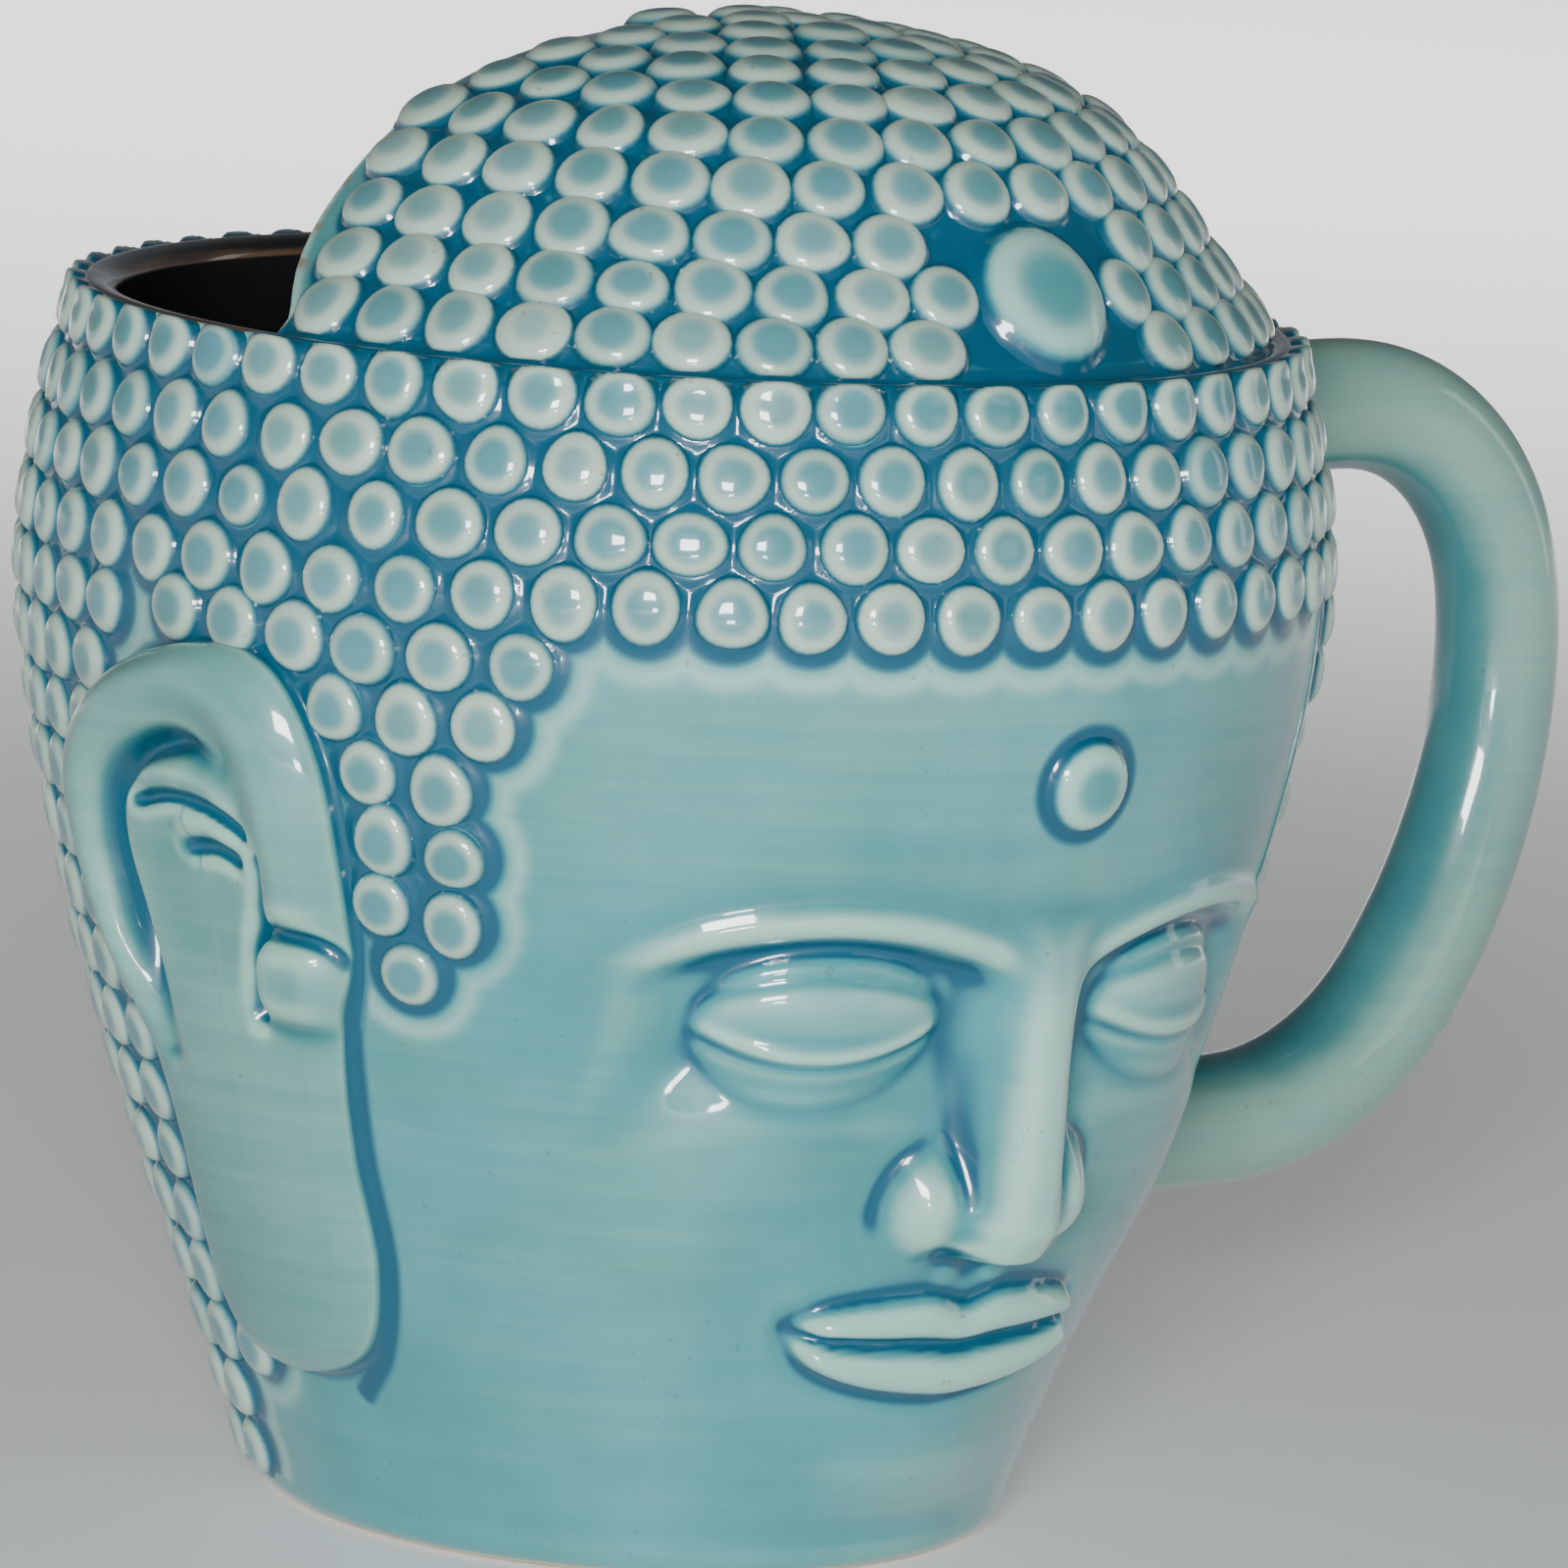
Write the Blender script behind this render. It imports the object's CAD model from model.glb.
"""Looks for the glazed head pitcher mug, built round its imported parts.

Lengths are millimetres until a mesh is made. The face looks along -Y, the handle is at +X.
"""
import math
from itertools import pairwise

import bpy
import numpy as np
from mathutils import Matrix, Vector
from mathutils.bvhtree import BVHTree
from mathutils.kdtree import KDTree


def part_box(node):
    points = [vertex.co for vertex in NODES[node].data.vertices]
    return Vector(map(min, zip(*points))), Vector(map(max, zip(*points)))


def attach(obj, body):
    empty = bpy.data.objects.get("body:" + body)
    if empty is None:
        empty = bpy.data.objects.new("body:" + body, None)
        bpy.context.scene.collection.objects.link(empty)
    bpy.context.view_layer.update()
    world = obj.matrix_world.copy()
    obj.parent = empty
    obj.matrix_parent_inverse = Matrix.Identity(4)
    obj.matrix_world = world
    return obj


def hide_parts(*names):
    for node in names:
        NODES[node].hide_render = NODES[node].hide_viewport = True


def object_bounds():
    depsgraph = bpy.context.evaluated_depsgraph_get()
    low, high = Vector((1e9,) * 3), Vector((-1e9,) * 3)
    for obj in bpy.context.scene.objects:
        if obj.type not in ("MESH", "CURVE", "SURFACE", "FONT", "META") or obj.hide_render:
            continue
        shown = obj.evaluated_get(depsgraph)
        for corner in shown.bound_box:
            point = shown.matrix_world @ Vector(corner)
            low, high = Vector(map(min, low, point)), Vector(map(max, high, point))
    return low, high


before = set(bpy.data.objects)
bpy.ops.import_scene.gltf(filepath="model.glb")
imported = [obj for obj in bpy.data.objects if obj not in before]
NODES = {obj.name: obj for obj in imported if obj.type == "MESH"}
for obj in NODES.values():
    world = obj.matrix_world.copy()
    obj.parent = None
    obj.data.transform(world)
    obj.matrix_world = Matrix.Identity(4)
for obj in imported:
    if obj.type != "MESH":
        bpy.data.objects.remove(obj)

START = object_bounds()
MM = 1000.0
RANDOM = np.random.default_rng(11)


# ---- reading the frame -------------------------------------------------------------------------------------
def cad_mesh(name):
    mesh = NODES[name].data
    verts = np.empty(len(mesh.vertices) * 3)
    mesh.vertices.foreach_get("co", verts)
    return verts.reshape(-1, 3) * MM, [tuple(p.vertices) for p in mesh.polygons]


def tree_of(verts, faces):
    return BVHTree.FromPolygons(np.asarray(verts).tolist(), faces)


def cast(tree, origin, direction):
    hit = tree.ray_cast(Vector(origin), Vector(direction))[0]
    return None if hit is None else np.array(hit)


def box_mm(name):
    low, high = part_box(name)
    return np.array(low) * MM, np.array(high) * MM


def names(prefix):
    return sorted(n for n in NODES if n.startswith(prefix))


def step(x, low, high):
    """Smooth step from 0 at low to 1 at high."""
    t = np.clip((x - low) / (high - low), 0.0, 1.0)
    return t * t * (3 - 2 * t)


def hill(x, width):
    """Bell curve, 1 at 0."""
    return np.exp(-(x / width) ** 2)


VESSEL_TREE = tree_of(*cad_mesh("vessel"))
HOOD_TREE = tree_of(*cad_mesh("crown_hood"))
RIM_Z = box_mm("vessel")[1][2]
FOOT_ROUND, LIP_ROUND = 3.4, 1.9
WALL_LOW_Z, WALL_HIGH_Z = FOOT_ROUND, RIM_Z - LIP_ROUND
FAR, BEHIND, MIDDLE_Z = 200.0, 100.0, 60.0


def vessel_profile():
    """The outer radius at each height as a smooth curve, front-to-back ratio, wall thickness and floor height."""
    zs = np.linspace(WALL_LOW_Z + 0.3, WALL_HIGH_Z - 0.3, 110)
    side = np.array([cast(VESSEL_TREE, (FAR, 1.0, z), (-1, 0, 0))[0] for z in zs])
    back = np.array([cast(VESSEL_TREE, (1.0, FAR, z), (0, -1, 0))[1] for z in zs])
    fit = np.polynomial.Chebyshev.fit(zs, side, 9)
    inner = cast(VESSEL_TREE, (0, 1.0, MIDDLE_Z), (1, 0, 0))[0]
    floor = cast(VESSEL_TREE, (0.5, 0.5, MIDDLE_Z), (0, 0, -1))[2]
    return fit, float(np.median(back / side)), float(fit(MIDDLE_Z) - inner), float(floor)


SIDE_FIT, DEPTH_RATIO, WALL, FLOOR_Z = vessel_profile()


def radius(z):
    return SIDE_FIT(np.clip(z, WALL_LOW_Z, WALL_HIGH_Z))


def wall_point(t, z, raised=0.0):
    """Points on the vessel side at an angle from the face, raised along the outward normal."""
    r, slope = radius(z), SIDE_FIT.deriv()(np.clip(z, WALL_LOW_Z, WALL_HIGH_Z))
    normal = np.stack([np.sin(t), -np.cos(t) / DEPTH_RATIO, -slope + 0 * t], -1)
    normal /= np.linalg.norm(normal, axis=-1, keepdims=True)
    point = np.stack([r * np.sin(t), -DEPTH_RATIO * r * np.cos(t), z + 0 * t], -1)
    return point + normal * np.asarray(raised)[..., None]


# where rays look for the hood: just beside its middle plane, over its crown, and from a pivot inside it
BESIDE, CROWN_Y, PIVOT_DROP, PIVOT_FORWARD = 0.3, (-24, -3), 8.0, 18.0


def hood_profile():
    """Lean of the hood, and its radius and height against the share of the way from its foot up to its apex."""
    top = box_mm("crown_hood")[1][2]
    ys = np.linspace(*CROWN_Y, 97)
    tops = np.array([cast(HOOD_TREE, (BESIDE, y, FAR), (0, 0, -1))[2] for y in ys])
    bend = np.polyfit(ys, tops, 2)
    lean = (bend[1] / (2 * bend[0])) / (top - RIM_Z)
    rs, zs = [], []
    for phi in np.linspace(0.10, math.pi / 2 - 0.02, 90):
        out = np.array([0, -math.cos(phi), math.sin(phi)])
        pivot = np.array([BESIDE, -lean * PIVOT_FORWARD * math.sin(phi), RIM_Z - PIVOT_DROP])
        hit = cast(HOOD_TREE, pivot + out * 150, -out)
        if hit is not None and hit[2] > RIM_Z + 0.2:
            rs.append((-hit[1] - lean * (hit[2] - RIM_Z)) / DEPTH_RATIO)
            zs.append(hit[2])
    rs, zs = np.array(rs), np.array(zs)
    keep = rs > 1.0
    rs, zs = np.append(rs[keep], 0.0), np.append(zs[keep], top)
    slope = (rs[3] - rs[0]) / (zs[3] - zs[0])
    rs, zs = np.append(rs[0] + slope * (RIM_Z - zs[0]), rs), np.append(RIM_Z, zs)
    run = np.append(0, np.cumsum(np.hypot(np.diff(rs), np.diff(zs))))
    run /= run[-1]
    r_fit = np.polynomial.Chebyshev.fit(run, rs, 9)
    z_fit = np.polynomial.Chebyshev.fit(run, zs, 9)
    return lean, r_fit, z_fit


HOOD_LEAN, HOOD_R, HOOD_Z = hood_profile()


def hood_point(t, q, raised=0.0):
    """Points on the hood, raised along its normal; q runs from 0 at the apex to 1 at the foot."""
    s = 1 - np.asarray(q)
    r = np.maximum(HOOD_R(s) - HOOD_R(1.0) * step(s, 0.8, 1.0), 0.0)
    z = HOOD_Z(s)
    dr, dz = HOOD_R.deriv()(s), np.maximum(HOOD_Z.deriv()(s), 0.0)
    side = -dz * np.cos(t) / DEPTH_RATIO
    normal = np.stack([dz * np.sin(t), side, -dr + HOOD_LEAN * side], -1)
    normal /= np.linalg.norm(normal, axis=-1, keepdims=True)
    point = np.stack([r * np.sin(t), -DEPTH_RATIO * r * np.cos(t) - HOOD_LEAN * (z - RIM_Z), z + 0 * t], -1)
    return point + normal * np.asarray(raised)[..., None]


HOOD_PIVOT = RIM_Z - 40.0
Q_TABLE = np.linspace(0, 1, 400)


def rise(radial, z):
    return np.arctan2(radial, z - HOOD_PIVOT)


RISE_TABLE = rise(np.maximum(HOOD_R(1 - Q_TABLE), 0.0), HOOD_Z(1 - Q_TABLE))


def on_hood(p):
    """Angle from the face and q of the place on the hood nearest to points."""
    y = (p[..., 1] + HOOD_LEAN * (p[..., 2] - RIM_Z)) / DEPTH_RATIO
    return np.arctan2(p[..., 0], -y), np.interp(rise(np.hypot(p[..., 0], y), p[..., 2]), RISE_TABLE, Q_TABLE)


def on_wall(p):
    return np.arctan2(p[..., 0], -p[..., 1] / DEPTH_RATIO), p[..., 2]


def cut_edge():
    """Depth of the cut behind the hood, which grows with height, met by rays from behind inside the shell."""
    runs = np.linspace(0.02, 0.9, 30)
    levels, depth = HOOD_Z(runs), []
    for r, z in zip(HOOD_R(runs), levels):
        hits = [cast(HOOD_TREE, (-r * share, BEHIND, z), (0, -1, 0)) for share in np.linspace(0.99, 0.55, 30)]
        depth.append(max(hit[1] for hit in hits if hit is not None))
    return levels, np.maximum.accumulate(depth)


CUT_Z, CUT_DEPTH = cut_edge()


def cut_y(z):
    return np.interp(z, CUT_Z, CUT_DEPTH)


def curl_spots(name):
    """Centre of each curl of a node: its solids, told apart by which vertices join."""
    verts, faces = cad_mesh(name)
    keys, index = np.unique(np.round(verts, 2), axis=0, return_inverse=True)
    index = index.ravel()
    parent = list(range(len(keys)))

    def root(i):
        while parent[i] != i:
            parent[i] = parent[parent[i]]
            i = parent[i]
        return i

    for face in faces:
        first = root(index[face[0]])
        for other in face[1:]:
            parent[root(index[other])] = first
    groups = {}
    for i, key in enumerate(keys):
        groups.setdefault(root(i), []).append(key)
    return [np.mean(g, axis=0) for g in groups.values() if len(g) > 8]


CURLS = {n: curl_spots(n) for n in NODES if "curls" in n}


# ---- grids -------------------------------------------------------------------------------------------------
def grid_normals(p):
    """Unit normals of a grid that closes on itself in its first direction."""
    du = np.roll(p, -1, 0) - np.roll(p, 1, 0)
    dv = np.empty_like(p)
    dv[:, 1:-1] = p[:, 2:] - p[:, :-2]
    dv[:, 0], dv[:, -1] = p[:, 1] - p[:, 0], p[:, -1] - p[:, -2]
    n = np.cross(du, dv)
    return n / np.maximum(np.linalg.norm(n, axis=-1, keepdims=True), 1e-12)


def hollow(p, rounds, outward=1.0):
    """How far each point lies below its smoothed surroundings: positive in a hollow, negative on an edge."""
    q = p.copy()
    for _ in range(rounds):
        inner = 0.25 * (np.roll(q, 1, 0) + np.roll(q, -1, 0))
        q[:, 1:-1] = inner[:, 1:-1] + 0.25 * (q[:, 2:] + q[:, :-2])
    return ((q - p) * grid_normals(p)).sum(-1) * outward


def make_mesh(name, verts, faces, material, **values):
    """A smooth mesh from points in millimetres and lists of triangles and quads, with point attributes."""
    mesh = bpy.data.meshes.new(name)
    corners = np.concatenate([f.ravel() for f in faces]).astype(np.int32)
    sizes = np.concatenate([np.full(len(f), f.shape[1]) for f in faces]).astype(np.int32)
    mesh.vertices.add(len(verts))
    mesh.vertices.foreach_set("co", (np.asarray(verts) / MM).astype(np.float32).ravel())
    mesh.loops.add(len(corners))
    mesh.loops.foreach_set("vertex_index", corners)
    mesh.polygons.add(len(sizes))
    mesh.polygons.foreach_set("loop_start", np.append(0, np.cumsum(sizes)[:-1]).astype(np.int32))
    mesh.polygons.foreach_set("loop_total", sizes)
    mesh.polygons.foreach_set("use_smooth", np.ones(len(sizes), bool))
    for key, value in values.items():
        layer = mesh.attributes.new(key, "FLOAT", "POINT")
        layer.data.foreach_set("value", np.asarray(value, np.float32).ravel())
    mesh.update(calc_edges=True)
    mesh.validate()
    mesh.materials.append(material)
    obj = bpy.data.objects.new(name, mesh)
    bpy.context.scene.collection.objects.link(obj)
    return obj


def grid_faces(nu, nv, flip=False, base=0, wrap=True):
    u = np.arange(nu if wrap else nu - 1)[:, None]
    v = np.arange(nv - 1)[None, :]
    a, b = u * nv + v, ((u + 1) % nu) * nv + v
    quad = np.stack([a, b, b + 1, a + 1], -1).reshape(-1, 4) + base
    return quad[:, ::-1] if flip else quad


def place(obj, slot_name, *nodes):
    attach(obj, "root")
    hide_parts(*nodes)
    return obj


def smooth_path(points, count=160, closed=False):
    """Points along a Catmull-Rom curve."""
    pts = np.array(points, float)
    ext = np.vstack([pts[-1], pts, pts[0], pts[1]]) if closed else np.vstack([2 * pts[0] - pts[1], pts,
                                                                            2 * pts[-1] - pts[-2]])
    spans = len(pts) if closed else len(pts) - 1
    s = np.linspace(0, spans, count, endpoint=not closed)
    i = np.minimum(s.astype(int), spans - 1)
    f = (s - i)[:, None]
    p0, p1, p2, p3 = ext[i], ext[i + 1], ext[i + 2], ext[i + 3]
    return 0.5 * (2 * p1 + (p2 - p0) * f + (2 * p0 - 5 * p1 + 4 * p2 - p3) * f ** 2
                  + (3 * p1 - p0 - 3 * p2 + p3) * f ** 3)


def path_distance(y, z, path):
    """Distance to a line of points, and the share of the line passed at the nearest place."""
    best, share = np.full(np.shape(y), 1e9), np.zeros(np.shape(y))
    for i in range(len(path) - 1):
        a, d = path[i], path[i + 1] - path[i]
        s = np.clip(((y - a[0]) * d[0] + (z - a[1]) * d[1]) / max(d @ d, 1e-9), 0, 1)
        gap = np.hypot(y - a[0] - s * d[0], z - a[1] - s * d[1])
        near = gap < best
        best, share = np.where(near, gap, best), np.where(near, (i + s) / (len(path) - 1), share)
    return best, share


# ---- glaze -------------------------------------------------------------------------------------------------
def colour(r, g, b):
    """Linear colour from the usual 0-255 values."""
    return tuple(c / 12.92 / 255 if c < 11 else ((c / 255 + 0.055) / 1.055) ** 2.4 for c in (r, g, b)) + (1.0,)


class Nodes:
    """Short calls for building a shader."""

    def __init__(self, name):
        self.material = bpy.data.materials.new(name)
        self.material.use_nodes = True
        self.tree = self.material.node_tree
        self.tree.nodes.clear()

    def add(self, kind, settings=(), **inputs):
        node = self.tree.nodes.new(kind)
        for key, value in dict(settings).items():
            setattr(node, key, value)
        for key, value in inputs.items():
            self.put(node.inputs[key.replace("_", " ")], value)
        return node

    def put(self, socket, value):
        if isinstance(value, bpy.types.NodeSocket):
            self.tree.links.new(value, socket)
        else:
            socket.default_value = value

    def math(self, operation, a, b=0.0, clamp=False):
        node = self.tree.nodes.new("ShaderNodeMath")
        node.operation, node.use_clamp = operation, clamp
        self.put(node.inputs[0], a)
        self.put(node.inputs[1], b)
        return node.outputs[0]

    def ramp(self, value, low, high, to_low=0.0, to_high=1.0):
        node = self.tree.nodes.new("ShaderNodeMapRange")
        node.interpolation_type = "SMOOTHSTEP"
        for i, v in enumerate((value, low, high, to_low, to_high)):
            self.put(node.inputs[i], v)
        return node.outputs[0]

    def mix(self, factor, a, b, blend="MIX"):
        node = self.tree.nodes.new("ShaderNodeMix")
        node.data_type, node.blend_type = "RGBA", blend
        self.put(node.inputs[0], factor)
        self.put(node.inputs[6], a)
        self.put(node.inputs[7], b)
        return node.outputs[2]

    def attribute(self, name):
        return self.add("ShaderNodeAttribute", {"attribute_name": name}).outputs["Fac"]

    def noise(self, scale, detail=3.0, stretch=(1, 1, 1), shift=0.0):
        place_in = self.add("ShaderNodeTexCoord").outputs["Object"]
        moved = self.add("ShaderNodeMapping", Vector=place_in, Scale=stretch, Location=(shift, shift, shift))
        return self.add("ShaderNodeTexNoise", Vector=moved.outputs[0], Scale=scale, Detail=detail,
                        Roughness=0.55).outputs["Fac"]


SHADOWED = (0.80, 0.86, 0.78, 1.0)
SPECK, SOOT, SOFT_SOOT = colour(70, 92, 88), colour(20, 21, 22), colour(38, 40, 42)
RUST, CLAY, DARK_CLAY = colour(138, 104, 72), colour(205, 196, 178), colour(182, 170, 150)


def glaze(name, thin_tone, middle_tone, deep_tone):
    """Pooling celadon glaze: pale where it breaks over edges, deep blue where it pools, black inside.

    It reads the point attributes pool, thin, inside, rust (brown edges) and bare (clay), each from 0 to 1.
    """
    n = Nodes(name)

    def swing(texture, amount):
        return n.math("MULTIPLY", n.math("SUBTRACT", texture, 0.5), amount)

    patch = n.noise(22.0, 4.0)
    cloud = n.noise(75.0, 3.0, shift=3.0)
    streak = n.noise(60.0, 5.0, (0.35, 0.35, 9.0), shift=1.0)
    speck = n.ramp(n.noise(900.0, 1.0, shift=7.0), 0.73, 0.80)
    pool, thin = n.attribute("pool"), n.attribute("thin")
    pooled = n.math("ADD", pool, swing(cloud, 0.30))
    pooled = n.ramp(pooled, 0.06, 0.92)
    pooled = n.math("MULTIPLY", pooled, n.ramp(pool, 0.0, 0.12))
    broken = n.math("ADD", thin, swing(patch, 0.85))
    broken = n.math("ADD", broken, swing(streak, 0.30))
    broken = n.ramp(broken, -0.05, 1.0)
    low = n.mix(n.ramp(cloud, 0.3, 0.75), middle_tone, [c * s for c, s in zip(middle_tone, SHADOWED)])
    body = n.mix(broken, low, thin_tone)
    tint = n.mix(0.45, middle_tone, deep_tone)
    body = n.mix(n.ramp(pooled, 0.0, 0.55), body, tint)
    body = n.mix(n.ramp(pooled, 0.40, 1.0), body, deep_tone)
    body = n.mix(n.math("MULTIPLY", speck, 0.35), body, SPECK)
    inside = n.ramp(n.math("ADD", n.attribute("inside"), swing(cloud, 0.5)), 0.35, 0.65)
    black = n.mix(patch, SOOT, SOFT_SOOT)
    body = n.mix(inside, body, black)
    rust = n.math("MULTIPLY", n.attribute("rust"), n.ramp(streak, 0.42, 0.62))
    body = n.mix(n.math("MULTIPLY", rust, 0.75), body, RUST)
    bare = n.ramp(n.math("ADD", n.attribute("bare"), swing(cloud, 0.3)), 0.4, 0.6)
    clay = n.mix(n.noise(300.0, 4.0), CLAY, DARK_CLAY)
    body = n.mix(bare, body, clay)
    shiny = n.math("SUBTRACT", 1.0, bare)
    ripple = n.add("ShaderNodeBump", Strength=0.12, Distance=0.0006, Height=n.noise(160.0, 2.0, shift=5.0))
    grain = n.add("ShaderNodeBump", Strength=0.05, Distance=0.0002, Height=n.noise(1400.0, 2.0),
                  Normal=ripple.outputs[0])
    surface = n.add("ShaderNodeBsdfPrincipled", Base_Color=body, Roughness=n.ramp(bare, 0.0, 1.0, 0.30, 0.85),
                    IOR=1.5, Specular_IOR_Level=0.2, Coat_Weight=shiny, Coat_Roughness=0.05, Coat_IOR=1.45,
                    Normal=grain.outputs[0], Coat_Normal=ripple.outputs[0])
    out = n.add("ShaderNodeOutputMaterial")
    n.tree.links.new(surface.outputs[0], out.inputs[0])
    return n.material


BODY = glaze("body_glaze", colour(158, 204, 192), colour(70, 148, 156), colour(20, 84, 110))
CURL = glaze("curl_glaze", colour(178, 202, 186), colour(86, 146, 156), colour(26, 84, 106))
GRIP = glaze("handle_glaze", colour(142, 182, 168), colour(70, 134, 134), colour(20, 88, 112))
EAR_GLAZE = glaze("ear_glaze", colour(150, 196, 182), colour(62, 134, 136), colour(18, 84, 108))


# ---- ears: outline and lines of the relief, from the low back corner of the ear's own box ------------------
EAR_LOW, EAR_HIGH = box_mm("ear_right")
EAR_SCALE = (EAR_HIGH - EAR_LOW)[1:] / np.array([35.0, 73.4])


def ear_path(points, **kind):
    """Line in (y, z) through points given in millimetres on an ear 35.0 wide and 73.4 tall."""
    return smooth_path(np.array(points) * EAR_SCALE + EAR_LOW[1:], **kind)


OUTLINE = ear_path([(8.9, 73.2), (4.1, 70.2), (0.9, 63.0), (0.1, 53.0), (0.7, 44.0), (3.3, 35.5), (4.9, 25.0),
                    (5.9, 13.0), (9.7, 3.9), (17.3, 0.3), (24.7, 2.0), (27.5, 8.0), (27.1, 15.5), (26.8, 23.0),
                    (28.1, 30.0), (30.5, 37.0), (33.1, 44.5), (34.9, 52.0), (34.7, 59.0), (31.3, 65.0),
                    (24.5, 70.0), (16.3, 72.8)], count=640, closed=True)
HELIX = ear_path([(4.4, 45.0), (4.2, 54.0), (5.2, 62.0), (8.6, 67.8), (14.2, 69.6), (21.6, 67.3), (28.0, 62.8),
                  (31.2, 57.4), (31.3, 51.6), (29.6, 44.0), (27.2, 36.6), (25.3, 30.0)])
SCAPHA = ear_path([(10.6, 61.4), (16.2, 63.2), (22.2, 61.4), (26.3, 57.8), (27.4, 52.6), (26.5, 46.0), (24.9, 39.2),
                   (23.3, 32.2)])
UPPER_FOLD = ear_path([(7.9, 54.5), (12.7, 57.2), (18.3, 57.8), (24.1, 56.3)])
LOWER_FOLD = ear_path([(9.7, 51.8), (13.9, 53.4), (18.7, 52.6)])
CONCHA_EDGE = ear_path([(7.6, 55.0), (8.3, 51.0), (9.4, 47.6), (10.4, 44.0), (10.7, 40.0), (10.6, 35.6)])
TRAGUS = np.array([5.6, 41.3]) * EAR_SCALE + EAR_LOW[1:]
LOBE = np.array([16.3, 16.0]) * EAR_SCALE + EAR_LOW[1:]
LOBE_FRONT = ear_path([(2.9, 37.2), (3.6, 33.0), (4.8, 24.0), (5.8, 13.0), (8.9, 4.2), (12.3, -0.4), (14.1, -2.4)])


def ear_distance(y, z):
    """Distance from the ear outline, negative inside it."""
    gap, _ = path_distance(y, z, np.vstack([OUTLINE, OUTLINE[:1]]))
    inside = np.zeros(np.shape(y), bool)
    for (y0, z0), (y1, z1) in zip(OUTLINE, np.roll(OUTLINE, -1, 0)):
        cross = ((z0 > z) != (z1 > z)) & (y < y0 + (y1 - y0) * (z - z0) / (z1 - z0 + 1e-12))
        inside ^= cross
    return np.where(inside, -gap, gap)


def wall_x(y, z):
    """Half width of the vessel at a depth and height."""
    r = radius(z)
    return r * np.sqrt(np.clip(1 - (y / (DEPTH_RATIO * r)) ** 2, 0.01, 1))


# line, depth, width, and the share of its length that fades at each end
EAR_CUTS = ((UPPER_FOLD, 1.25, 0.85, 0.12), (LOWER_FOLD, 1.3, 1.0, 0.25), (CONCHA_EDGE, 1.7, 0.95, 0.12))
# ridge beside a fold: line, how far above it, height, width, and the share that fades
EAR_RIDGES = ((UPPER_FOLD, 2.6, 0.9, 1.5, 0.25), (LOWER_FOLD, 1.9, 0.6, 1.2, 0.3))
HELIX_OUT, HELIX_WIDE, SCAPHA_DEEP, TRAGUS_OUT, LOBE_OUT = 2.0, 3.1, 3.0, 1.9, 1.9


def ear_relief(y, z, edge):
    """Height of the ear over the head, and how deep its lines are cut, at points a distance inside the outline."""
    across = (y - EAR_LOW[1]) / (EAR_HIGH[1] - EAR_LOW[1])
    up = (z - EAR_LOW[2]) / (EAR_HIGH[2] - EAR_LOW[2])
    base = 2.3 + 1.7 * step(across, 0.0, 0.95) + 0.4 * step(up, 0.45, 0.8)
    d, share = path_distance(y, z, HELIX)
    fade = step(share, 0.0, 0.04) * (1 - step(share, 0.82, 1.0))
    width = HELIX_WIDE - 0.9 * step(share, 0.62, 1.0)
    h = base + HELIX_OUT * fade * hill(d / width, 1.0) ** 0.9
    cuts = np.zeros(np.shape(y))
    d, share = path_distance(y, z, SCAPHA)
    depth = SCAPHA_DEEP * step(share, 0.0, 0.22) * (1 - 0.9 * step(share, 0.72, 1.0)) + 0.4
    h -= depth * hill(d, 1.55)
    cuts += depth / 3.2 * hill(d, 1.7)
    for line, deep, wide, ends in EAR_CUTS:
        d, share = path_distance(y, z, line)
        fade = step(share, 0.0, ends) * (1 - step(share, 1 - ends, 1.0))
        h -= deep * fade * hill(d, wide)
        cuts += 0.9 * fade * hill(d, wide * 1.1)
    for line, above, high, wide, ends in EAR_RIDGES:
        d, share = path_distance(y, z, line + np.array([0.0, above]))
        h += high * hill(d, wide) * step(share, 0.0, ends) * (1 - step(share, 1 - ends, 1.0))
    bowl = np.hypot((y - TRAGUS[0] - 10.0) / 7.5, (z - TRAGUS[1] - 6.5) / 8.0)
    h -= 1.1 * np.exp(-bowl ** 4)
    knob = (np.abs((y - TRAGUS[0]) / 1.05) ** 3 + np.abs(z - TRAGUS[1]) ** 3) ** (1 / 3)
    above = step(z - TRAGUS[1], -1.0, 3.0)
    h += TRAGUS_OUT * np.exp(-(knob / 4.0) ** 5)
    h -= 0.9 * hill(knob - 4.9, 0.8) * above
    cuts += 0.7 * hill(knob - 4.7, 0.8) * above
    lobe = np.hypot((y - LOBE[0]) / 11.0, (z - LOBE[1]) / 21.0)
    h += LOBE_OUT * np.exp(-lobe ** 3)
    corner = np.clip(edge / 2.6, 0, 1)
    h = h * (0.42 + 0.58 * np.sqrt(1 - (1 - corner) ** 2))
    return h, np.clip(cuts, 0, 1)


# the ear's edge down to the wall: distance outside the outline and share of the edge's height
EAR_SKIRT = [(0.06, 0.72), (0.10, 0.45), (0.18, 0.22), (0.45, 0.06), (0.95, -0.06), (1.5, -0.2)]


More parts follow.
